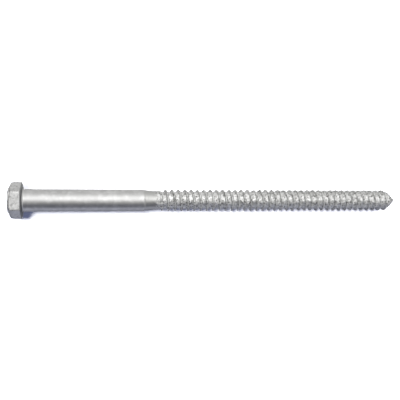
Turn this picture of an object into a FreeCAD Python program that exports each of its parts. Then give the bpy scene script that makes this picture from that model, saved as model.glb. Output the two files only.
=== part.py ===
"""Hex head lag screw, hot-dip galvanised, 5/8 in x 12 in, one forged and thread-rolled piece of steel.

The screw is drawn along +X, with the bearing face of its head at x = 0 and its point at the far end,
and is then laid on its side as it comes to rest: on the bearing-side edge of its lower flat
and on the last full crest of its thread. All sizes are in millimetres.
"""
import FreeCAD, Part
import math
import os
import Sketcher

SIZES = [
    # overall
    ("screw_length", 300.0, "from the bearing face to the tip"),
    # hexagon head
    ("head_across_flats", 23.8, "15/16 in over the zinc"),
    ("head_height", 9.7, "from the end of the head to its bearing face"),
    ("head_face_diameter", 19.5, "flat circle that the chamfer leaves on the end"),
    ("head_chamfer_angle", 30.0, "degrees from the end face"),
    ("head_corner_radius", 1.0, "rounding of the six long edges"),
    ("head_collar", 0.4, "bevel that fills the corner between the bearing face and the shank"),
    # plain shank, and the step down to the blank that the thread is rolled on
    ("shank_diameter", 16.5, "over the zinc"),
    ("shank_length", 89.9, "from the bearing face to the step"),
    ("step_length", 6.0, "taper from the shank to the neck"),
    ("neck_diameter", 14.5, "blank before the thread"),
    ("neck_length", 3.1, "from the taper to where the crest starts to rise"),
    # rolled thread, five to the inch
    ("thread_pitch", 5.08, "one turn"),
    ("thread_diameter", 16.4, "over the crests"),
    ("thread_depth", 1.75, "crest to root, with zinc in the root"),
    ("thread_root_flat", 2.19, "flat between two ridges"),
    ("thread_lead", 4.29, "from the step to the ridge's first crossing of the lower side, inside the blank"),
    ("thread_run_in", 6.6, "length over which the crest rises from the neck"),
    # cone point
    ("point_half_angle", 40.0, "degrees from the axis"),
    ("tip_diameter", 1.6, "blunt end of the cone"),
]

NODE = "lag_screw"
SHEET = "sizes"
# How far solids reach past each other where one is joined to another or trimmed.
OVERLAP = 0.3
# Turns of thread that the trim reaches past the tip, so that it takes off all of the rod.
TURNS_PAST_TIP = 3
# Lengths that differ by less than this are the same.
SAME = 1e-6


def add_sheet(document):
    """The spreadsheet that holds the driving dimensions, one alias to a row."""
    sheet = document.addObject("Spreadsheet::Sheet", SHEET)
    for row, (alias, value, meaning) in enumerate(SIZES, start=1):
        sheet.set(f"A{row}", alias)
        sheet.set(f"B{row}", str(value))
        sheet.set(f"C{row}", meaning)
        sheet.setAlias(f"B{row}", alias)
    document.recompute()
    return sheet


def of(alias):
    """A cell of the sheet, as an expression names it."""
    return f"{SHEET}.{alias}"


# Places along the screw and radii, all worked out from the sheet.
SHANK_RADIUS = f"{of('shank_diameter')} / 2"
NECK_RADIUS = f"{of('neck_diameter')} / 2"
CREST_RADIUS = f"{of('thread_diameter')} / 2"
TIP_RADIUS = f"{of('tip_diameter')} / 2"
FLAT_HEIGHT = f"{of('head_across_flats')} / 2"
ROOT_RADIUS = f"({CREST_RADIUS} - {of('thread_depth')})"
STEP_END = f"({of('shank_length')} + {of('step_length')})"
NECK_END = f"({STEP_END} + {of('neck_length')})"
CREST_FULL = f"({NECK_END} + {of('thread_run_in')})"
POINT_SLOPE = f"tan({of('point_half_angle')} * 1deg)"
THREAD_START = f"({of('shank_length')} + {of('thread_lead')})"
POINT_START = f"({of('screw_length')} - ({CREST_RADIUS} - {TIP_RADIUS}) / {POINT_SLOPE})"
# The crest crosses the lower side once a turn, and this is the last time before the cone.
LAST_CREST = (
    f"({THREAD_START} + {of('thread_pitch')} * "
    f"floor(({POINT_START} - {THREAD_START}) / {of('thread_pitch')}))"
)
REST_TILT = f"atan(({FLAT_HEIGHT} - {CREST_RADIUS}) / {LAST_CREST})"


def origin_part(body, role):
    """A plane or an axis of the body's own origin."""
    return next(feature for feature in body.Origin.OriginFeatures if feature.Role == role)


def profile(body, name, plane, corners):
    """A closed sketch of straight lines, each corner held by the two expressions given for it."""
    sketch = body.newObject("Sketcher::SketchObject", name)
    sketch.AttachmentSupport = [(origin_part(body, plane), "")]
    sketch.MapMode = "FlatFace"
    spots = []
    for corner in corners:
        across, up = (float(sketch.evalExpression(place)) for place in corner)
        spots.append(FreeCAD.Vector(across, up, 0))
    for start, end in zip(spots, spots[1:] + spots[:1]):
        sketch.addGeometry(Part.LineSegment(start, end), False)
    for line in range(len(spots)):
        before = (line - 1) % len(spots)
        sketch.addConstraint(Sketcher.Constraint("Coincident", before, 2, line, 1))
    for line, (across, up) in enumerate(corners):
        hold(sketch, line, "DistanceX", across, -2)
        hold(sketch, line, "DistanceY", up, -1)
    return sketch


def hold(sketch, line, kind, place, axis):
    """Keep the start of a line on an axis, or at the distance that an expression gives from it."""
    if place == "0":
        sketch.addConstraint(Sketcher.Constraint("PointOnObject", line, 1, axis))
        return
    value = float(sketch.evalExpression(place))
    number = sketch.addConstraint(Sketcher.Constraint(kind, -1, 1, line, 1, value))
    sketch.setExpression(f"Constraints[{number}]", place)


def turned(body, kind, name, corners):
    """A feature turned about the screw's axis from half of its outline."""
    feature = body.newObject(kind, name)
    feature.Profile = profile(body, name + "_outline", "XZ_Plane", corners)
    feature.ReferenceAxis = (origin_part(body, "X_Axis"), [""])
    feature.Angle = 360
    return feature


def edges_where(feature, test):
    """Names of the edges of a feature that pass a test."""
    return [f"Edge{number}" for number, edge in enumerate(feature.Shape.Edges, start=1) if test(edge)]


def dressed(body, kind, name, base, test, size):
    """A fillet or a chamfer on the edges of the base that pass a test."""
    feature = body.newObject(kind, name)
    feature.Base = (base, edges_where(base, test))
    feature.setExpression("Radius" if kind == "PartDesign::Fillet" else "Size", size)
    return feature


def add_head(body):
    """Hexagon with two level flats, its long edges rounded and its end chamfered to a circle."""
    flat = FLAT_HEIGHT
    half_side = f"({FLAT_HEIGHT} * tan(30deg))"
    corner = f"({FLAT_HEIGHT} / cos(30deg))"
    hexagon = profile(body, "head_hexagon", "YZ_Plane", [
        (corner, "0"),
        (half_side, flat),
        ("-" + half_side, flat),
        ("-" + corner, "0"),
        ("-" + half_side, "-(" + flat + ")"),
        (half_side, "-(" + flat + ")"),
    ])
    prism = body.newObject("PartDesign::Pad", "head_prism")
    prism.Profile = hexagon
    prism.setExpression("Length", of("head_height"))
    prism.Reversed = True

    def is_long_edge(edge):
        """One of the six edges that run along the screw."""
        return abs(edge.tangentAt(edge.FirstParameter).x) > 1 - SAME

    body.Document.recompute()
    dressed(body, "PartDesign::Fillet", "head_edges", prism, is_long_edge, of("head_corner_radius"))
    face_radius = f"{of('head_face_diameter')} / 2"
    beyond = f"({corner} + {of('head_corner_radius')})"
    depth_at_beyond = f"(({beyond} - {face_radius}) * tan({of('head_chamfer_angle')} * 1deg))"
    turned(body, "PartDesign::Groove", "head_chamfer", [
        ("-" + of("head_height"), face_radius),
        (f"-{of('head_height')} + {depth_at_beyond}", beyond),
        (f"-{of('head_height')} - {OVERLAP}", beyond),
        (f"-{of('head_height')} - {OVERLAP}", face_radius),
    ])


def add_shank(body):
    """Shank, step, neck and the fall to the thread's root, and the bevel under the head."""
    inside = f"({ROOT_RADIUS} - {OVERLAP})"
    stub_end = f"({CREST_FULL} + {of('thread_pitch')})"
    shank = turned(body, "PartDesign::Revolution", "shank", [
        (f"-{of('head_height')} / 2", "0"),
        (f"-{of('head_height')} / 2", SHANK_RADIUS),
        (of("shank_length"), SHANK_RADIUS),
        (STEP_END, NECK_RADIUS),
        (NECK_END, NECK_RADIUS),
        (CREST_FULL, inside),
        (stub_end, inside),
        (stub_end, "0"),
    ])
    body.Document.recompute()
    radius = float(shank.evalExpression(SHANK_RADIUS))

    def is_under_head(edge):
        """The circle where the shank meets the bearing face."""
        round_edge = isinstance(edge.Curve, Part.Circle) and abs(edge.Curve.Radius - radius) < SAME
        return round_edge and abs(edge.Curve.Center.x) < SAME

    dressed(body, "PartDesign::Chamfer", "under_head", shank, is_under_head, of("head_collar"))


def rail(pitch, turns, radius, start):
    """A right-hand helix about the X axis, an edge to a turn, that starts on the lower side."""
    helix = Part.makeLongHelix(pitch, turns * pitch, radius, 0, False)
    on_axis = FreeCAD.Placement(FreeCAD.Vector(start, 0, 0), FreeCAD.Rotation(FreeCAD.Vector(0, 1, 0), 90))
    return helix.transformed(on_axis.toMatrix()).Edges


def strips(lower, upper):
    """The ruled faces between two rails, a turn each."""
    return [Part.makeRuledSurface(one, other) for one, other in zip(lower, upper)]


def axis_steps(pitch, turns, start):
    """The stretch of the axis that each turn of a rail passes."""
    ends = [FreeCAD.Vector(start + pitch * turn, 0, 0) for turn in range(turns + 1)]
    return [Part.LineSegment(one, other).toShape() for one, other in zip(ends, ends[1:])]


def closing_face(section, axis_step):
    """The flat end of the threaded rod, from a section of its surface to the axis."""
    corners = [axis_step.Vertexes[0].Point] + section + [axis_step.Vertexes[-1].Point]
    return Part.Face(Part.makePolygon(corners + corners[:1]))


def add_thread(document, sheet):
    """A rod with one right-hand ridge, ruled between three helical rails: foot, crest and foot.

    It starts inside the shank and ends past the tip, where the trim takes it off.
    """
    pitch = sheet.thread_pitch
    crest_radius = sheet.thread_diameter / 2
    root_radius = crest_radius - sheet.thread_depth
    half_ridge = (pitch - sheet.thread_root_flat) / 2
    first_crest = sheet.shank_length + sheet.thread_lead
    first_foot = first_crest - half_ridge
    turns = math.ceil((sheet.screw_length - first_foot) / pitch) + 1
    near_foot = rail(pitch, turns + 1, root_radius, first_foot)
    crest = rail(pitch, turns, crest_radius, first_crest)
    far_foot = rail(pitch, turns, root_radius, first_crest + half_ridge)
    axis = axis_steps(pitch, turns + 1, first_foot)
    faces = strips(near_foot, crest) + strips(crest, far_foot) + strips(far_foot, near_foot[1:])
    faces += strips(near_foot[:1], axis[:1]) + strips(near_foot[-1:], axis[-1:])
    for turn, corner in ((0, 0), (turns, -1)):
        foot_edge = near_foot[turn]
        ridge = [foot_edge.Vertexes[0].Point]
        ridge += [side[corner].Vertexes[corner].Point for side in (crest, far_foot)]
        faces.append(closing_face(ridge + [foot_edge.Vertexes[-1].Point], axis[turn]))
    shell = Part.makeShell(faces)
    shell.sewShape()
    thread = document.addObject("Part::Feature", "rolled_thread")
    thread.Shape = Part.makeSolid(shell)
    return thread


def add_trim(document):
    """What is taken off the rod: the ridge in the neck, above its rise and outside the cone point."""
    body = document.addObject("PartDesign::Body", "trim")
    outside = f"({SHANK_RADIUS} + {of('thread_depth')})"
    above = f"({CREST_RADIUS} + {OVERLAP})"
    below = f"({NECK_RADIUS} - {OVERLAP})"
    rise = f"(({CREST_RADIUS} - {NECK_RADIUS}) / {of('thread_run_in')})"
    beyond_tip = f"({of('screw_length')} + {TURNS_PAST_TIP} * {of('thread_pitch')})"
    turned(body, "PartDesign::Revolution", "trim_ring", [
        (of("shank_length"), below),
        (f"{NECK_END} - {OVERLAP} / {rise}", below),
        (f"{NECK_END} + ({above} - {NECK_RADIUS}) / {rise}", above),
        (f"{POINT_START} - ({above} - {CREST_RADIUS}) / {POINT_SLOPE}", above),
        (of("screw_length"), TIP_RADIUS),
        (of("screw_length"), "0"),
        (beyond_tip, "0"),
        (beyond_tip, outside),
        (of("shank_length"), outside),
    ])
    return body


def join(document, blank, thread, trim):
    """The blank with the thread on it, less what the trim takes off."""
    trimmed = document.addObject("Part::Cut", "trimmed_thread")
    trimmed.Base = thread
    trimmed.Tool = trim
    screw = document.addObject("Part::Fuse", NODE)
    screw.Label = NODE
    screw.Base = blank
    screw.Tool = trimmed
    return screw


def lay_down(screw):
    """Turn the point down until a crest touches the floor, with the origin under the middle."""
    face_radius = f"{of('head_face_diameter')} / 2"
    tip_end = f"({of('screw_length')} * cos({REST_TILT}) + {TIP_RADIUS} * sin({REST_TILT}))"
    head_end = f"({of('head_height')} * cos({REST_TILT}) + {face_radius} * sin({REST_TILT}))"
    screw.Placement = FreeCAD.Placement(FreeCAD.Vector(), FreeCAD.Rotation(FreeCAD.Vector(0, 1, 0), 1))
    screw.setExpression("Placement.Rotation.Angle", REST_TILT)
    screw.setExpression("Placement.Base.x", f"({head_end} - {tip_end}) / 2")
    screw.setExpression("Placement.Base.z", f"{FLAT_HEIGHT} * cos({REST_TILT})")


def check(document, screw):
    """Stop if any object failed, or if the screw isn't one valid solid."""
    for item in document.Objects:
        if "Invalid" in item.State or "Error" in item.State:
            raise RuntimeError(f"{item.Label} failed: {item.State}")
    shape = screw.Shape
    if shape.isNull() or not shape.isValid() or len(shape.Solids) != 1:
        raise RuntimeError(f"{screw.Label} isn't one valid solid")


def main():
    """Draw the screw, check it and write it."""
    document = FreeCAD.newDocument("lag_screw_model")
    sheet = add_sheet(document)
    blank = document.addObject("PartDesign::Body", "forged_blank")
    add_head(blank)
    add_shank(blank)
    screw = join(document, blank, add_thread(document, sheet), add_trim(document))
    lay_down(screw)
    document.recompute()
    check(document, screw)
    os.makedirs("parts", exist_ok=True)
    screw.Shape.exportStep(f"parts/{NODE}.step")
    box = screw.Shape.optimalBoundingBox(False)
    print(f"{NODE}: {screw.Shape.Volume:.1f} mm3, {len(screw.Shape.Faces)} faces")
    low = [round(value, 3) for value in (box.XMin, box.YMin, box.ZMin)]
    high = [round(value, 3) for value in (box.XMax, box.YMax, box.ZMax)]
    print(f"from {low} to {high}")
    tilt = float(screw.evalExpression(REST_TILT))
    contact = float(screw.evalExpression(LAST_CREST))
    print(f"tilt {tilt:.4f} degrees, last crest on the floor {contact:.3f} from the bearing face")


main()
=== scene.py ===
"""Looks of a hot-dip galvanised hex lag screw that lies on white studio paper.

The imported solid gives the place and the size. This script builds the same screw again with what the
zinc bath leaves on it: rounded crests, a fillet under the head, soft edges and small lumps. The screw
is shaped in millimetres along +X, with the bearing face of its head at x = 0, and is then laid down.
"""
import logging
import math
from dataclasses import dataclass, field

import bmesh
import bpy
from mathutils import Matrix, Vector, noise


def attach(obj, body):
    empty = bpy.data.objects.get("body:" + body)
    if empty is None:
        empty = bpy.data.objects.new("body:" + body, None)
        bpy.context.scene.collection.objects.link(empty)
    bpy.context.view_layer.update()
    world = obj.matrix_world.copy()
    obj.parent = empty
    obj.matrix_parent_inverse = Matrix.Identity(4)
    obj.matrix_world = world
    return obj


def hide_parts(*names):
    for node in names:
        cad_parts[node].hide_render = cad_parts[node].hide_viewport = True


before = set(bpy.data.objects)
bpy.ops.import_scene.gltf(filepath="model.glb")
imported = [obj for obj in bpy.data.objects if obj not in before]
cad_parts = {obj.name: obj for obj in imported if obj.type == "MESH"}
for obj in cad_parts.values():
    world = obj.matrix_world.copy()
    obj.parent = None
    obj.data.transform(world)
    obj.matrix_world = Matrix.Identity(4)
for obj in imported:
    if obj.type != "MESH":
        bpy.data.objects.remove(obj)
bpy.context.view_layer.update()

LOG = logging.getLogger("lag_screw")
NODE = "lag_screw"
METRES = 0.001
MERGE = 0.002
AHEAD = Vector((1.0, 0.0, 0.0))
SIXTH = math.radians(60)
HALF_SIXTH = math.radians(30)
Spot = tuple[float, float]
Colour = tuple[float, float, float, float]
Socket = bpy.types.NodeSocket


def linear(code: str) -> Colour:
    """Turn an sRGB colour into the linear one that shaders take.

    Args:
        code: Colour as six hex digits.

    Returns:
        Linear red, green, blue and an alpha of 1.
    """
    shares = [int(code[at:at + 2], 16) / 255 for at in (0, 2, 4)]
    red, green, blue = ((v / 12.92) if v <= 0.04045 else ((v + 0.055) / 1.055) ** 2.4 for v in shares)
    return red, green, blue, 1.0


def along(place: float, stations: list[Spot]) -> float:
    """Read a value off a line of straight runs.

    Args:
        place: Where to read it.
        stations: Places and values, in rising order of place.

    Returns:
        The value there, held level past either end.
    """
    if place <= stations[0][0]:
        return stations[0][1]
    for (near, low), (far, high) in zip(stations, stations[1:]):
        if place <= far:
            return low + (high - low) * (place - near) / (far - near)
    return stations[-1][1]


def smooth_min(one: float, other: float, blend: float) -> float:
    """Lower of two values, with the corner between them rounded over a width of blend."""
    part = max(blend - abs(one - other), 0.0) / blend
    return min(one, other) - part * part * blend / 4


def rounded(corners: list[tuple[float, float, float]], steps: int) -> list[Spot]:
    """Round the corners of an open outline.

    Args:
        corners: Along, out and radius of each corner; a radius of 0 leaves it as a point.
        steps: Straight runs in each rounded corner.

    Returns:
        The outline's points, as many for any place of the corners.
    """
    points: list[Spot] = []
    for number, (x, y, radius) in enumerate(corners):
        here = Vector((x, y))
        if radius == 0:
            points.append((here.x, here.y))
            continue
        before = (Vector(corners[number - 1][:2]) - here).normalized()
        after = (Vector(corners[number + 1][:2]) - here).normalized()
        half = before.angle(after) / 2
        start = here + before * (radius / math.tan(half))
        middle = here + (before + after).normalized() * (radius / math.sin(half))
        arm = start - middle
        sweep = (math.pi - 2 * half) * (1 if before.cross(after) < 0 else -1)
        for step in range(steps + 1):
            turn = -sweep * step / steps
            spot = middle + Vector((
                arm.x * math.cos(turn) - arm.y * math.sin(turn),
                arm.x * math.sin(turn) + arm.y * math.cos(turn),
            ))
            points.append((spot.x, spot.y))
    return points


def facing(place: Vector, back: Vector, ahead: Vector) -> Matrix:
    """Place and turn a lamp or a camera so that a direction runs level across its picture.

    Args:
        place: Where it hangs.
        back: Unit direction from what it faces.
        ahead: Unit direction that runs to the right in its picture.

    Returns:
        Its matrix in the row frame.
    """
    right = (ahead - ahead.dot(back) * back).normalized()
    up = back.cross(right)
    return Matrix.Translation(place) @ Matrix((right, up, back)).transposed().to_4x4()


def placed(name: str, shape: bmesh.types.BMesh) -> bpy.types.Object:
    """Turn a finished shape into an object of the scene.

    Args:
        name: Name of the object and of its mesh.
        shape: The shape, which is used up.

    Returns:
        The object.
    """
    mesh = bpy.data.meshes.new(name)
    shape.to_mesh(mesh)
    shape.free()
    made = bpy.data.objects.new(name, mesh)
    bpy.context.scene.collection.objects.link(made)
    return made


@dataclass(frozen=True)
class ScrewSizes:
    """Sizes of the screw in millimetres, as in the solid, and the rounding that the zinc gives.

    The zinc on the shank ends in a ledge, ledge_back before the solid's shank does; ledge_slope is its
    depth as a share of its length. The thread's root is at its full depth after root_reached of the
    run-in. The corners where the thread meets the neck and the cone are rounded over meeting. The
    cone ends in tip_shoulder, which is back from the end and out from the tip's radius, and tip_flat.
    At rest the thread touches the floor at last_crest.
    """

    length: float = 300.0
    across_flats: float = 23.8
    head_height: float = 9.7
    head_face: float = 19.5
    head_chamfer: float = 30.0
    head_corner: float = 1.2
    face_edge: float = 1.2
    chamfer_edge: float = 0.3
    bearing_edge: float = 0.35
    under_head: float = 0.5
    shank: float = 16.5
    shank_length: float = 89.9
    ledge: float = 0.45
    ledge_slope: float = 0.75
    ledge_back: float = 1.1
    step: float = 6.0
    neck: float = 14.5
    neck_length: float = 3.1
    pitch: float = 5.08
    crest: float = 16.4
    crest_zinc: float = 0.22
    thread_depth: float = 1.75
    thread_lead: float = 4.29
    run_in: float = 6.6
    root_reached: float = 0.73
    meeting: float = 0.2
    point_angle: float = 40.0
    tip: float = 1.6
    tip_shoulder: Spot = (0.2, 0.15)
    tip_flat: float = 0.5
    last_crest: float = 287.23

    @property
    def shank_end(self) -> float:
        """Where the shank's zinc ends in a small ledge."""
        return self.shank_length - self.ledge_back

    @property
    def step_end(self) -> float:
        """Where the taper meets the neck."""
        return self.shank_length + self.step

    @property
    def neck_end(self) -> float:
        """Where the crest starts to rise."""
        return self.step_end + self.neck_length

    @property
    def crest_full(self) -> float:
        """Where the crest has its full height."""
        return self.neck_end + self.run_in

    @property
    def root(self) -> float:
        """Radius of the thread's root."""
        return self.crest / 2 - self.thread_depth

    @property
    def point_start(self) -> float:
        """Where the cone point starts."""
        return self.length - (self.crest - self.tip) / 2 / math.tan(math.radians(self.point_angle))

    @property
    def tilt(self) -> float:
        """Angle in radians by which the point hangs down at rest."""
        return math.atan((self.across_flats - self.crest) / 2 / self.last_crest)

    def lying(self) -> Matrix:
        """Lay the screw down as it rests, with its middle over the origin.

        Returns:
            Matrix from millimetres along +X to metres in the row frame.
        """
        cosine, sine = math.cos(self.tilt), math.sin(self.tilt)
        tip_end = self.length * cosine + self.tip / 2 * sine
        head_end = self.head_height * cosine + self.head_face / 2 * sine
        place = Vector(((head_end - tip_end) / 2, 0.0, self.across_flats / 2 * cosine)) * METRES
        return Matrix.Translation(place) @ Matrix.Rotation(self.tilt, 4, "Y") @ Matrix.Scale(METRES, 4)

    def bar(self) -> list[Spot]:
        """Follow the plain part of the screw: shank, ledge, taper and neck.

        Returns:
            Places along the screw and radii.
        """
        return [
            (0.0, self.shank / 2), (self.shank_end, self.shank / 2),
            (self.shank_end + self.ledge, self.shank / 2 - self.ledge * self.ledge_slope),
            (self.step_end, self.neck / 2), (self.neck_end, self.neck / 2),
        ]

    def skin(self) -> list[Spot]:
        """Give the largest radius along the screw: the bar, the rise of the crest, and the cone.

        Returns:
            Places along the screw and radii.
        """
        crest = self.crest / 2 + self.crest_zinc
        back, out = self.tip_shoulder
        return [
            *self.bar(), (self.crest_full, crest), (self.point_start, crest),
            (self.length - back, self.tip / 2 + out), (self.length, self.tip_flat),
        ]

    def core(self) -> list[Spot]:
        """Give the smallest radius along the screw, down to the root of the thread."""
        return [*self.bar(), (self.neck_end + self.run_in * self.root_reached, self.root)]


@dataclass(frozen=True)
class Fineness:
    """How finely the screw's skin is divided.

    Rows lie at shares of the way across a face of the head. Columns gather at the hexagon's corners by
    corner_pull, and the rows up to pressed_share of the way to the shank take its form. full_arc is
    the share of the room at a corner that an arc takes, so that the points at its ends stay apart. What
    the thread sweeps near the shank's end or the tip, within the welds in millimetres, is drawn onto
    them, and turns_before and turns_after make sure that it reaches them. The ridge is one pitch of the
    thread: places from its crest in millimetres, and heights above the root as shares of its depth.
    """

    columns: int = 72
    shank_step: float = 1.25
    arc_steps: int = 4
    fillet_steps: int = 6
    full_arc: float = 0.999
    face_rows: tuple[float, ...] = (0.2, 0.45, 0.7)
    side_rows: tuple[float, ...] = (0.2, 0.35, 0.5, 0.65, 0.8)
    under_rows: tuple[float, ...] = (0.35, 0.7, 1.0)
    corner_pull: float = 1.7
    pressed_share: float = 0.9
    shank_weld: float = 0.15
    tip_weld: float = 0.02
    turns_before: int = 2
    turns_after: int = 2
    ridge: tuple[Spot, ...] = (
        (-2.54, 0.0), (-1.64, 0.0), (-1.28, 0.005), (-1.04, 0.035), (-0.86, 0.13), (-0.69, 0.31),
        (-0.51, 0.57), (-0.34, 0.87), (-0.16, 1.09), (0.0, 1.14), (0.19, 1.08), (0.42, 0.86),
        (0.64, 0.6), (0.86, 0.36), (1.09, 0.17), (1.31, 0.06), (1.52, 0.012), (1.76, 0.0), (2.54, 0.0),
    )


@dataclass(frozen=True)
class ZincLumps:
    """Relief that the zinc bath leaves, as widths and heights in millimetres.

    On the shank the zinc ran off, so its lumps are longer than wide: drain is their width as a share of
    their length. The thread's lumps have the share on_step at the end of the taper and are full at the
    end of the neck, and the head's fade out over head_fade.
    """

    seed: float = 7.3
    film: float = 0.08
    drain: float = 0.3
    shank: tuple[Spot, ...] = ((7.0, 0.014), (2.6, 0.006))
    head: tuple[Spot, ...] = ((5.0, 0.06), (2.0, 0.03))
    thread: tuple[Spot, ...] = ((3.2, 0.22), (1.4, 0.3))
    on_step: float = 0.25
    head_fade: float = 2.0

    def height(self, point: Vector, thread_share: float, head_share: float) -> float:
        """Height of the relief at a point of the skin.

        Args:
            point: Point in millimetres.
            thread_share: 1 on the thread and 0 on the shank.
            head_share: 1 on the head and 0 on the shank.

        Returns:
            Height in millimetres, below zero where the skin dips.
        """
        drained = Vector((point.x * self.drain, point.y, point.z))
        shares = (
            (self.shank, drained, 1.0 - max(thread_share, head_share)),
            (self.head, point, head_share),
            (self.thread, point, thread_share),
        )
        total = self.film
        for waves, spot, share in shares:
            if share > 0:
                for width, size in waves:
                    total += share * size * noise.noise(spot / width + Vector((self.seed, width, -self.seed)))
        return total


@dataclass
class LagScrew:
    """The one steel piece: hexagon head, shank, neck, rolled thread and cone point under zinc."""

    sizes: ScrewSizes = field(default_factory=ScrewSizes)
    fineness: Fineness = field(default_factory=Fineness)
    lumps: ZincLumps = field(default_factory=ZincLumps)

    def build(self) -> bpy.types.Object:
        """Build the skin of the whole screw and lay it down.

        Returns:
            The finished piece, in metres in the row frame.
        """
        skin = bmesh.new()
        self.add_head(skin)
        self.add_shank(skin)
        self.add_thread(skin)
        bmesh.ops.remove_doubles(skin, verts=skin.verts[:], dist=MERGE)
        bmesh.ops.recalc_face_normals(skin, faces=skin.faces[:])
        self.coat(skin)
        bmesh.ops.transform(skin, matrix=self.sizes.lying(), verts=skin.verts[:])
        for vert in skin.verts:
            vert.co.z = max(vert.co.z, 0.0)
        for face in skin.faces:
            face.smooth = True
        return placed("galvanised_lag_screw", skin)

    def turned(self, skin: bmesh.types.BMesh, outline: list[Spot]) -> list[bmesh.types.BMVert]:
        """Turn an outline once about the screw's axis, from its lower side.

        Args:
            skin: Mesh that the surface goes into.
            outline: Place along the axis and radius of each point.

        Returns:
            The vertices of the new surface.
        """
        before = set(skin.verts)
        line = [skin.verts.new((x, 0.0, -radius)) for x, radius in outline]
        edges = [skin.edges.new(pair) for pair in zip(line, line[1:])]
        bmesh.ops.spin(
            skin, geom=line + edges, cent=(0, 0, 0), axis=(1, 0, 0), dvec=(0, 0, 0),
            angle=math.tau, steps=self.fineness.columns, use_merge=True, use_duplicate=False,
        )
        return [vert for vert in skin.verts if vert not in before]

    def hexagon(self, turn: float) -> float:
        """Radius of the hexagon with rounded corners.

        Args:
            turn: Angle from the nearest corner, in radians.

        Returns:
            Radius in millimetres.
        """
        flat = self.sizes.across_flats / 2
        soft = self.sizes.head_corner
        centre = (flat - soft) / math.cos(HALF_SIXTH)
        reach = soft * soft - (centre * math.sin(turn)) ** 2
        from_flat = HALF_SIXTH - abs(turn)
        tangent = math.atan((flat - soft) * math.tan(HALF_SIXTH) / flat)
        if from_flat <= tangent or reach < 0:
            return flat / math.cos(from_flat)
        return centre * math.cos(turn) + math.sqrt(reach)

    def head_section(self, outer: float) -> list[Spot]:
        """Half of the head's section where its side lies at a given radius.

        Args:
            outer: Radius of the side.

        Returns:
            Points from the middle of the end face to the fillet on the shank.
        """
        sizes, fineness = self.sizes, self.fineness
        end, face = -sizes.head_height, sizes.head_face / 2
        crease = end + (outer - face) * math.tan(math.radians(sizes.head_chamfer))
        inner = sizes.shank / 2 + sizes.under_head
        corners = [(end, 0.0, 0.0)]
        corners += [(end, face * share, 0.0) for share in fineness.face_rows]
        corners.append((end, face, sizes.face_edge))
        corners.append((crease, outer, sizes.chamfer_edge))
        corners += [(crease * (1 - share), outer, 0.0) for share in fineness.side_rows]
        corners.append((0.0, outer, sizes.bearing_edge))
        corners += [(0.0, outer + (inner - outer) * share, 0.0) for share in fineness.under_rows]
        return rounded(corners, fineness.arc_steps)

    def add_head(self, skin: bmesh.types.BMesh) -> None:
        """Turn a round head and press its side to a hexagon that has a flat below.

        Args:
            skin: Mesh that the head goes into.
        """
        fineness = self.fineness
        round_head = self.head_section(self.sizes.across_flats / 2 / math.cos(HALF_SIXTH))
        for vert in self.turned(skin, round_head):
            radius = math.hypot(vert.co.y, vert.co.z)
            row = min(range(len(round_head)), key=lambda at: math.dist(round_head[at], (vert.co.x, radius)))
            turn = math.atan2(vert.co.z, vert.co.y)
            corner = round(turn / SIXTH) * SIXTH
            share = (turn - corner) / (SIXTH / 2)
            pressed = math.copysign(abs(share) ** fineness.corner_pull, share) * SIXTH / 2
            x, out = self.head_section(self.hexagon(pressed))[row]
            inward = row / (len(round_head) - 1)
            angle = corner + pressed if inward < fineness.pressed_share else turn
            vert.co = Vector((x, out * math.cos(angle), out * math.sin(angle)))

    def add_shank(self, skin: bmesh.types.BMesh) -> None:
        """Turn the fillet under the head and the plain shank.

        Args:
            skin: Mesh that the shank goes into.
        """
        sizes, fineness = self.sizes, self.fineness
        radius, soft = sizes.shank / 2, sizes.under_head
        fillet = [(0.0, radius + soft, 0.0), (0.0, radius, soft * fineness.full_arc), (soft, radius, 0.0)]
        outline = rounded(fillet, fineness.fillet_steps)
        rows = math.ceil((sizes.shank_end - soft) / fineness.shank_step)
        outline += [(soft + (sizes.shank_end - soft) * row / rows, radius) for row in range(1, rows + 1)]
        self.turned(skin, outline)

    def add_thread(self, skin: bmesh.types.BMesh) -> None:
        """Sweep one ridge and one root along a right-hand helix, and trim them to neck and cone.

        Args:
            skin: Mesh that the thread goes into.
        """
        sizes, fineness = self.sizes, self.fineness
        first = sizes.shank_length + sizes.thread_lead - fineness.turns_before * sizes.pitch
        turns = math.ceil((sizes.length - first) / sizes.pitch) + fineness.turns_after
        before = set(skin.verts)
        line = [
            skin.verts.new((first + x, 0.0, -(sizes.root + sizes.thread_depth * share)))
            for x, share in fineness.ridge
        ]
        edges = [skin.edges.new(pair) for pair in zip(line, line[1:])]
        advance = (sizes.pitch / fineness.columns, 0, 0)
        bmesh.ops.spin(
            skin, geom=line + edges, cent=(0, 0, 0), axis=(1, 0, 0), dvec=advance,
            angle=math.tau, steps=fineness.columns, use_merge=False, use_duplicate=False,
        )
        swept = [vert for vert in skin.verts if vert not in before]
        made = 1
        while made < turns:
            faces = {face for vert in swept for face in vert.link_faces}
            copied = bmesh.ops.duplicate(skin, geom=swept + list(faces))
            fresh = [item for item in copied["geom"] if isinstance(item, bmesh.types.BMVert)]
            bmesh.ops.translate(skin, vec=(made * sizes.pitch, 0, 0), verts=fresh)
            swept += fresh
            made *= 2
        self.trim(swept)

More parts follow.
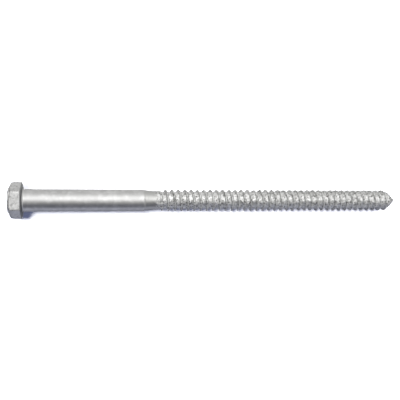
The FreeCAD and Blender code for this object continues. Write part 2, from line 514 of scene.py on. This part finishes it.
    def trim(self, swept: list[bmesh.types.BMVert]) -> None:
        """Keep the swept thread between the core and the skin, and close it at both ends.

        Args:
            swept: Vertices of the thread.
        """
        sizes, fineness = self.sizes, self.fineness
        skin_line, core_line = sizes.skin(), sizes.core()
        for vert in swept:
            radius = math.hypot(vert.co.y, vert.co.z)
            place = vert.co.x
            if place < sizes.shank_end + fineness.shank_weld:
                place, out = sizes.shank_end, sizes.shank / 2
            elif place > sizes.length - fineness.tip_weld:
                place, out = sizes.length, 0.0
            else:
                raised = -smooth_min(-radius, -along(place, core_line), sizes.meeting)
                out = smooth_min(raised, along(place, skin_line), sizes.meeting)
            vert.co = Vector((place, vert.co.y * out / radius, vert.co.z * out / radius))

    def coat(self, skin: bmesh.types.BMesh) -> None:
        """Raise the zinc's film and lumps all over the screw.

        Args:
            skin: Mesh of the whole screw.
        """
        sizes, lumps = self.sizes, self.lumps
        thread_line = [(sizes.shank_end, 0.0), (sizes.step_end, lumps.on_step), (sizes.neck_end, 1.0)]
        head_line = [(0.0, 1.0), (lumps.head_fade, 0.0)]
        skin.normal_update()
        moves = []
        for vert in skin.verts:
            on_thread, on_head = along(vert.co.x, thread_line), along(vert.co.x, head_line)
            moves.append(vert.normal * lumps.height(vert.co, on_thread, on_head))
        for vert, move in zip(skin.verts, moves):
            vert.co += move


def node(
    tree: bpy.types.NodeTree, kind: str, inputs: dict | None = None, **settings: str,
) -> bpy.types.Node:
    """Add a node with its settings, values and links.

    Args:
        tree: Tree that the node goes into.
        kind: Type of the node.
        inputs: Input name or number to a value, or to the output that feeds it.
        settings: Properties of the node.

    Returns:
        The node.
    """
    made = tree.nodes.new(kind)
    for name, value in settings.items():
        setattr(made, name, value)
    for name, value in (inputs or {}).items():
        if isinstance(name, str):
            socket = next(item for item in made.inputs if item.enabled and item.name == name)
        else:
            socket = made.inputs[name]
        if isinstance(value, Socket):
            tree.links.new(value, socket)
        else:
            socket.default_value = value
    return made


def ranged(tree: bpy.types.NodeTree, value: Socket, span: Spot, result: Spot = (0.0, 1.0)) -> Socket:
    """Map one span of a value onto another, level past its ends.

    Args:
        tree: Tree that the node goes into.
        value: Output to map.
        span: The two values where the change starts and ends.
        result: What they become.

    Returns:
        The mapped value.
    """
    made = node(tree, "ShaderNodeMapRange", {
        "Value": value, "From Min": span[0], "From Max": span[1], "To Min": result[0], "To Max": result[1],
    })
    return made.outputs["Result"]


def mixed(tree: bpy.types.NodeTree, share: Socket, one: Colour | Socket, other: Colour | Socket) -> Socket:
    """Mix two colours.

    Args:
        tree: Tree that the node goes into.
        share: Share of the other colour.
        one: Colour where the share is 0.
        other: Colour where the share is 1.

    Returns:
        The mixed colour.
    """
    made = node(tree, "ShaderNodeMix", {"Factor": share, "A": one, "B": other}, data_type="RGBA")
    return made.outputs["Result"]


def worked_out(tree: bpy.types.NodeTree, operation: str, *values: Socket | float) -> Socket:
    """Work out one step of arithmetic.

    Args:
        tree: Tree that the node goes into.
        operation: Name of the step.
        values: What it works on, in order.

    Returns:
        The outcome.
    """
    return node(tree, "ShaderNodeMath", dict(enumerate(values)), operation=operation).outputs["Value"]


def clouds(tree: bpy.types.NodeTree, place: Socket, width: float, **inputs: float) -> Socket:
    """Add a cloudy noise.

    Args:
        tree: Tree that the node goes into.
        place: Coordinates in metres.
        width: Width of a cloud in millimetres.
        inputs: The noise's other values.

    Returns:
        The noise, about 0.5 on average.
    """
    scale = 1 / (width * METRES)
    return node(tree, "ShaderNodeTexNoise", {"Vector": place, "Scale": scale, **inputs}).outputs["Fac"]


def seen_share(tree: bpy.types.NodeTree) -> Socket:
    """Add the nodes that tell a seen or mirrored background from one that only sheds light.

    Args:
        tree: Tree of the floor or the world.

    Returns:
        Output that is 1 for camera, glossy and transmission rays, and 0 for others.
    """
    path = node(tree, "ShaderNodeLightPath")
    mirrored = worked_out(tree, "MAXIMUM", path.outputs["Is Glossy Ray"], path.outputs["Is Transmission Ray"])
    return worked_out(tree, "MAXIMUM", path.outputs["Is Camera Ray"], mirrored)


def bare_material(name: str) -> bpy.types.Material:
    """Start a material that has no nodes yet.

    Args:
        name: Name of the material.

    Returns:
        The material.
    """
    made = bpy.data.materials.new(name)
    made.use_nodes = True
    made.node_tree.nodes.clear()
    return made


@dataclass(frozen=True)
class HotDipZinc:
    """Hot-dip galvanised steel: zinc drawn from a bath, drained, and left to dull.

    The shank drains smooth and keeps a soft sheen with a faint mottle of crystals, and the neck is an
    even, duller grey. The thread holds more zinc, so it is lumpy, frosted pale and dark in its pits,
    and the head has head_crust of the same crust. Painted shade darkens the corner under the head.
    The pattern's sizes are widths in millimetres, and each pair is where a change starts and ends.
    """

    bright: str = "c9c9c8"
    dull: str = "b6b6b5"
    neck: str = "b0b0ae"
    thread_bright: str = "e6e6e5"
    thread_dull: str = "b4b4b2"
    pits: str = "6e6e6c"
    # painted shade: the darker grey for the corner under the head
    painted_corner_shade: str = "8e9091"
    crystal: float = 2.6
    cloud: float = 5.5
    mottle: Spot = (0.05, 0.5)
    lump: float = 1.6
    frosting: Spot = (0.36, 0.62)
    pit: float = 1.3
    pitting: Spot = (0.33, 0.43)
    grain: float = 0.55
    head_crust: float = 0.35
    thread_reach: float = 0.4
    neck_edge: Spot = (-0.1, 0.3)
    # how far from the bearing face the painted corner shade reaches, as shares of the fillet
    painted_corner_shade_reach: Spot = (0.3, 1.6)
    shank_roughness: float = 0.3
    thread_roughness: float = 0.4
    patches: Spot = (0.3, 0.7)
    patch_roughness: Spot = (-0.02, 0.04)
    relief: Spot = (0.02, 0.8)
    lump_height: float = 0.5
    grain_height: float = 0.06

    def material(self, sizes: ScrewSizes) -> bpy.types.Material:
        """Build the finish.

        Args:
            sizes: Sizes of the screw, in whose own frame the pattern lies.

        Returns:
            The material.
        """
        finish = bare_material("hot_dip_galvanised_steel")
        tree = finish.node_tree
        place = node(tree, "ShaderNodeTexCoord")
        lying = sizes.lying().to_translation()
        screw = node(tree, "ShaderNodeMapping", {"Vector": place.outputs["Object"], "Location": -lying})
        own = screw.outputs["Vector"]
        x = node(tree, "ShaderNodeSeparateXYZ", {"Vector": own}).outputs["X"]
        thread_full = sizes.neck_end + sizes.run_in * self.thread_reach
        thread = ranged(tree, x, (sizes.step_end * METRES, thread_full * METRES))
        head = ranged(tree, x, (-sizes.under_head * METRES, 0.0), (self.head_crust, 0.0))
        crusted = worked_out(tree, "MAXIMUM", thread, head)
        cloud = clouds(tree, own, self.cloud, Detail=3.0, Roughness=0.6)
        lump = clouds(tree, own, self.lump, Detail=3.0, Roughness=0.55)
        plain = self.drained(tree, sizes, own, x, cloud)
        full = mixed(tree, crusted, plain, self.crust(tree, own, lump))
        gloss = ranged(tree, thread, (0.0, 1.0), (self.shank_roughness, self.thread_roughness))
        patchy = ranged(tree, cloud, self.patches, self.patch_roughness)
        strength = ranged(tree, crusted, (0.0, 1.0), self.relief)
        lumps = node(tree, "ShaderNodeBump", {
            "Height": lump, "Strength": strength, "Distance": self.lump_height * METRES,
        })
        fine = node(tree, "ShaderNodeBump", {
            "Height": clouds(tree, own, self.grain, Detail=2.0), "Strength": strength,
            "Distance": self.grain_height * METRES, "Normal": lumps.outputs["Normal"],
        })
        shader = node(tree, "ShaderNodeBsdfPrincipled", {
            "Base Color": self.painted_corner_shaded(tree, sizes, x, full), "Metallic": 1.0,
            "Roughness": worked_out(tree, "ADD", gloss, patchy), "Normal": fine.outputs["Normal"],
        })
        node(tree, "ShaderNodeOutputMaterial", {"Surface": shader.outputs["BSDF"]})
        return finish

    def drained(
        self, tree: bpy.types.NodeTree, sizes: ScrewSizes, own: Socket, x: Socket, cloud: Socket,
    ) -> Socket:
        """Colour the smooth zinc of shank and neck, where crystals show as a faint mottle.

        Args:
            tree: Tree of the finish.
            sizes: Sizes of the screw.
            own: Coordinates in the screw's own frame.
            x: Place along the screw.
            cloud: Broad clouds that make the crystals come and go.

        Returns:
            The colour.
        """
        crystals = node(tree, "ShaderNodeTexVoronoi", {
            "Vector": own, "Scale": 1 / (self.crystal * METRES),
        }, feature="SMOOTH_F1")
        tones = node(tree, "ShaderNodeSeparateColor", {"Color": crystals.outputs["Color"]})
        mottle = worked_out(tree, "MULTIPLY", tones.outputs["Red"], cloud)
        tone = mixed(tree, ranged(tree, mottle, self.mottle), linear(self.dull), linear(self.bright))
        near, far = ((sizes.shank_end + edge) * METRES for edge in self.neck_edge)
        return mixed(tree, ranged(tree, x, (near, far)), tone, linear(self.neck))

    def crust(self, tree: bpy.types.NodeTree, own: Socket, lump: Socket) -> Socket:
        """Colour the thick zinc, which is pale on its lumps and dark in its pits.

        Args:
            tree: Tree of the finish.
            own: Coordinates in the screw's own frame.
            lump: Noise of the lumps.

        Returns:
            The colour.
        """
        grains = ranged(tree, lump, self.frosting)
        frosted = mixed(tree, grains, linear(self.thread_dull), linear(self.thread_bright))
        hollow = clouds(tree, own, self.pit, Detail=1.0, Distortion=0.4)
        return mixed(tree, ranged(tree, hollow, self.pitting), linear(self.pits), frosted)

    def painted_corner_shaded(self, tree: bpy.types.NodeTree, sizes: ScrewSizes, x: Socket, unshaded: Socket) -> Socket:
        """Paint shade into the corner under the head: a darker grey where the head shades the shank.

        Args:
            tree: Tree of the finish.
            sizes: Sizes of the screw.
            x: Place along the screw.
            unshaded: Colour without the painted shade.

        Returns:
            The colour.
        """
        from_corner = worked_out(tree, "ABSOLUTE", x)
        near, far = (sizes.under_head * reach * METRES for reach in self.painted_corner_shade_reach)
        # painted shade, full at the bearing face and gone past the fillet
        return mixed(tree, ranged(tree, from_corner, (near, far), (1.0, 0.0)), unshaded, linear(self.painted_corner_shade))


@dataclass(frozen=True)
class PaleFloor:
    """Seamless white studio paper, matt, on which the screw's shadow lies.

    The colour shown is above 1, so that lit paper is plain white and only the shadow shows on it.
    """

    half_size: float = 0.65
    paper: str = "f4f4f4"
    shown: Colour = (1.4, 1.4, 1.39, 1.0)

    def build(self) -> bpy.types.Object:
        """Build the floor.

        Returns:
            The floor.
        """
        sheet = bmesh.new()
        bmesh.ops.create_grid(sheet, x_segments=1, y_segments=1, size=self.half_size)
        floor = placed("paper_floor", sheet)
        floor.data.materials.append(self.material())
        return floor

    def material(self) -> bpy.types.Material:
        """Matt paper that shows as plain white where it is lit, and keeps the screw's shadow.

        Returns:
            The material.
        """
        paper = bare_material("studio_paper")
        tree = paper.node_tree
        colour = mixed(tree, seen_share(tree), linear(self.paper), self.shown)
        matt = node(tree, "ShaderNodeBsdfDiffuse", {"Color": colour})
        node(tree, "ShaderNodeOutputMaterial", {"Surface": matt.outputs["BSDF"]})
        return paper


@dataclass(frozen=True)
class LightTent:
    """Tent of diffusion cloth round the screw, with a cloth under it, which its sheen mirrors.

    The cloth glows brightest a little behind the screw and falls to grey in front. Low on both sides
    and under the screw its glow dims to painted shadow, the screw's shadow on the floor as the sheen
    would mirror it, and from the front down it has a cool tint, a painted reflection of the floor's blue
    shade. The glow is given as degrees round the screw's axis, from straight up towards the back, and
    the brightness there, where 1 is white. Towards the tent's ends it evens out to end_glow, over shares
    of the half length, and it is a little weaker round the head than round the thread.
    """

    radius: float = 0.6
    half_length: float = 1.6
    panels: int = 48
    lie: float = 0.0003
    axis_height: float = 0.0119
    end_glow: float = 0.85
    end_reach: Spot = (0.15, 0.45)
    head_to_thread: Spot = (-0.25, 0.0)
    head_to_thread_glow: Spot = (0.94, 1.05)
    # painted reflection: the bluish tint of the shaded floor, on the glow from the front down to under the
    # screw
    mirrored_shade_tint: tuple[float, float, float] = (0.95, 0.98, 1.16)
    neutral: tuple[float, float, float] = (1.0, 1.0, 1.0)
    mirrored_shade_tint_up_to: float = -45.0
    # the dim stops low at the sides and under the screw are the screw's painted shadow, as the sheen mirrors
    # it
    glow: tuple[Spot, ...] = (
        (-180.0, 0.15), (-137.0, 0.2), (-126.0, 0.33), (-113.0, 0.42), (-107.0, 0.45), (-102.0, 0.62),
        (-90.0, 0.58), (-76.0, 0.28), (-60.0, 0.2), (-45.0, 0.24), (-30.0, 0.4), (-16.0, 0.72), (-4.0, 1.1),
        (6.0, 1.7), (16.0, 2.05), (32.0, 2.05), (44.0, 1.65), (60.0, 1.2), (76.0, 0.98), (92.0, 0.95),
        (107.0, 0.8), (115.0, 0.86), (126.0, 0.8), (140.0, 0.45), (180.0, 0.15),
    )

    def build(self) -> bpy.types.Object:
        """Build the cloth.

        Returns:
            The cloth.
        """
        cloth = bmesh.new()
        ends = [cloth.verts.new((side * self.half_length, -self.radius, self.lie)) for side in (-1, 1)]
        edge = cloth.edges.new(ends)
        bmesh.ops.spin(
            cloth, geom=ends + [edge], cent=(0, 0, self.lie), axis=(-1, 0, 0), dvec=(0, 0, 0),
            angle=math.pi, steps=self.panels, use_merge=False, use_duplicate=False,
        )
        spread = Matrix.Diagonal((self.half_length, self.radius, 1.0, 1.0))
        under = Matrix.Translation((0, 0, self.lie)) @ spread
        bmesh.ops.create_grid(cloth, x_segments=1, y_segments=1, size=1.0, matrix=under)
        tent = placed("light_tent", cloth)
        tent.visible_camera = tent.visible_diffuse = tent.visible_shadow = False
        tent.data.materials.append(self.material())
        return tent

    def material(self) -> bpy.types.Material:
        """Lit cloth whose glow changes round the screw and towards the tent's ends.

        Returns:
            The material.
        """
        cloth = bare_material("lit_diffusion_cloth")
        tree = cloth.node_tree
        most = max(level for _, level in self.glow)
        pale = self.end_glow / most
        place = node(tree, "ShaderNodeTexCoord")
        split = node(tree, "ShaderNodeSeparateXYZ", {"Vector": place.outputs["Object"]})
        aside = worked_out(tree, "ABSOLUTE", split.outputs["X"])
        near, far = (self.half_length * share for share in self.end_reach)
        ring = self.ring(tree, split, most)
        colour = mixed(tree, ranged(tree, aside, (near, far)), ring, (pale, pale, pale, 1.0))
        weak, strong = (most * share for share in self.head_to_thread_glow)
        strength = ranged(tree, split.outputs["X"], self.head_to_thread, (weak, strong))
        light = node(tree, "ShaderNodeEmission", {"Color": colour, "Strength": strength})
        node(tree, "ShaderNodeOutputMaterial", {"Surface": light.outputs["Emission"]})
        return cloth

    def ring(self, tree: bpy.types.NodeTree, split: bpy.types.Node, most: float) -> Socket:
        """Lay the glow round the screw's axis.

        Args:
            tree: Tree of the cloth.
            split: Node that gives the place on the cloth.
            most: Brightest glow, which becomes 1.

        Returns:
            The colour of the glow.
        """
        above = worked_out(tree, "SUBTRACT", split.outputs["Z"], self.axis_height)
        turn = worked_out(tree, "ARCTAN2", split.outputs["Y"], above)
        first, last = self.glow[0][0], self.glow[-1][0]
        share = ranged(tree, turn, (math.radians(first), math.radians(last)))
        ramp = node(tree, "ShaderNodeValToRGB", {"Fac": share})
        stops = ramp.color_ramp.elements
        while len(stops) < len(self.glow):
            stops.new(1.0)
        for stop, (degrees, level) in zip(stops, self.glow):
            stop.position = (degrees - first) / (last - first)
            # the front and lower stops get the painted tint of the floor's blue shade
            tint = self.mirrored_shade_tint if degrees <= self.mirrored_shade_tint_up_to else self.neutral
            stop.color = (*(level / most * part for part in tint), 1.0)
        return ramp.outputs["Color"]


@dataclass(frozen=True)
class Softbox:
    """A flat lamp with an even face, which lights the paper and throws the shadow.

    Places and sizes are in metres, and the lamp faces the middle of the screw. The metal mirrors the
    tent and not the lamp.
    """

    name: str
    place: tuple[float, float, float]
    size: float
    watts: float

    def build(self) -> None:
        """Hang the lamp and turn it to the screw."""
        lamp = bpy.data.lights.new(self.name, "AREA")
        lamp.size = self.size
        lamp.energy = self.watts
        holder = bpy.data.objects.new(self.name, lamp)
        place = Vector(self.place)
        holder.matrix_world = facing(place, place.normalized(), AHEAD)
        holder.visible_glossy = False
        bpy.context.scene.collection.objects.link(holder)


@dataclass(frozen=True)
class Studio:
    """White all round, with a weak cool light from the room in the shadows."""

    softboxes: tuple[Softbox, ...] = (
        Softbox("overhead_softbox", (-0.75, 0.24, 1.9), 0.45, 34.0),
        Softbox("rear_softbox", (0.9, 0.85, 1.35), 0.7, 28.0),
    )
    white: Colour = (1.0, 1.0, 1.0, 1.0)
    room: Colour = (0.05, 0.068, 0.175, 1.0)

    def build(self) -> None:
        """Set up the floor, the tent, the lamps and the world."""
        PaleFloor().build()
        LightTent().build()
        for softbox in self.softboxes:
            softbox.build()
        world = bpy.data.worlds.new("white_studio")
        bpy.context.scene.world = world
        world.use_nodes = True
        tree = world.node_tree
        tree.nodes.clear()
        colour = mixed(tree, seen_share(tree), self.room, self.white)
        glow = node(tree, "ShaderNodeBackground", {"Color": colour, "Strength": 1.0})
        node(tree, "ShaderNodeOutputWorld", {"Surface": glow.outputs["Background"]})


@dataclass(frozen=True)
class PhotoCamera:
    """The camera almost straight above the screw, a little nearer to its head.

    The aim is the point of the screw's axis at the middle of the picture, as a distance from the
    bearing face in millimetres. The camera stands back from it in metres, swung towards the head and
    lifted towards the back by degrees from straight up.
    """

    aim: float = 133.5
    distance: float = 0.417
    swing: float = 10.8
    lift: float = 2.5
    lens: float = 47.77
    sensor: float = 36.0
    clip: Spot = (0.01, 20.0)
    shift: Spot = (-0.00125, 0.0008)

    def build(self, sizes: ScrewSizes) -> bpy.types.Object:
        """Place the camera so that the screw's axis runs level across the picture.

        Args:
            sizes: Sizes of the screw.

        Returns:
            The camera.
        """
        lying = sizes.lying()
        target = lying @ Vector((self.aim, 0.0, 0.0))
        ahead = (lying.to_3x3() @ AHEAD).normalized()
        swing, lift = math.radians(self.swing), math.radians(self.lift)
        back = Vector((-math.sin(swing) * math.cos(lift), math.sin(lift), math.cos(swing) * math.cos(lift)))
        data = bpy.data.cameras.new("photo_camera")
        data.sensor_width = self.sensor
        data.lens = self.lens
        data.shift_x, data.shift_y = self.shift
        data.clip_start, data.clip_end = self.clip
        camera = bpy.data.objects.new("photo_camera", data)
        camera.matrix_world = facing(target + back * self.distance, back, ahead)
        bpy.context.scene.collection.objects.link(camera)
        bpy.context.scene.camera = camera
        return camera


def main() -> None:
    """Build the screw, its finish, the studio and the camera."""
    logging.basicConfig(level=logging.INFO)
    screw = LagScrew()
    piece = screw.build()
    piece.data.materials.append(HotDipZinc().material(screw.sizes))
    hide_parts(NODE)
    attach(piece, "root")
    LOG.info("%s: %d faces", piece.name, len(piece.data.polygons))
    Studio().build()
    PhotoCamera().build(screw.sizes)
    bpy.context.scene.view_settings.view_transform = "Standard"


if __name__ == "__main__":
    main()
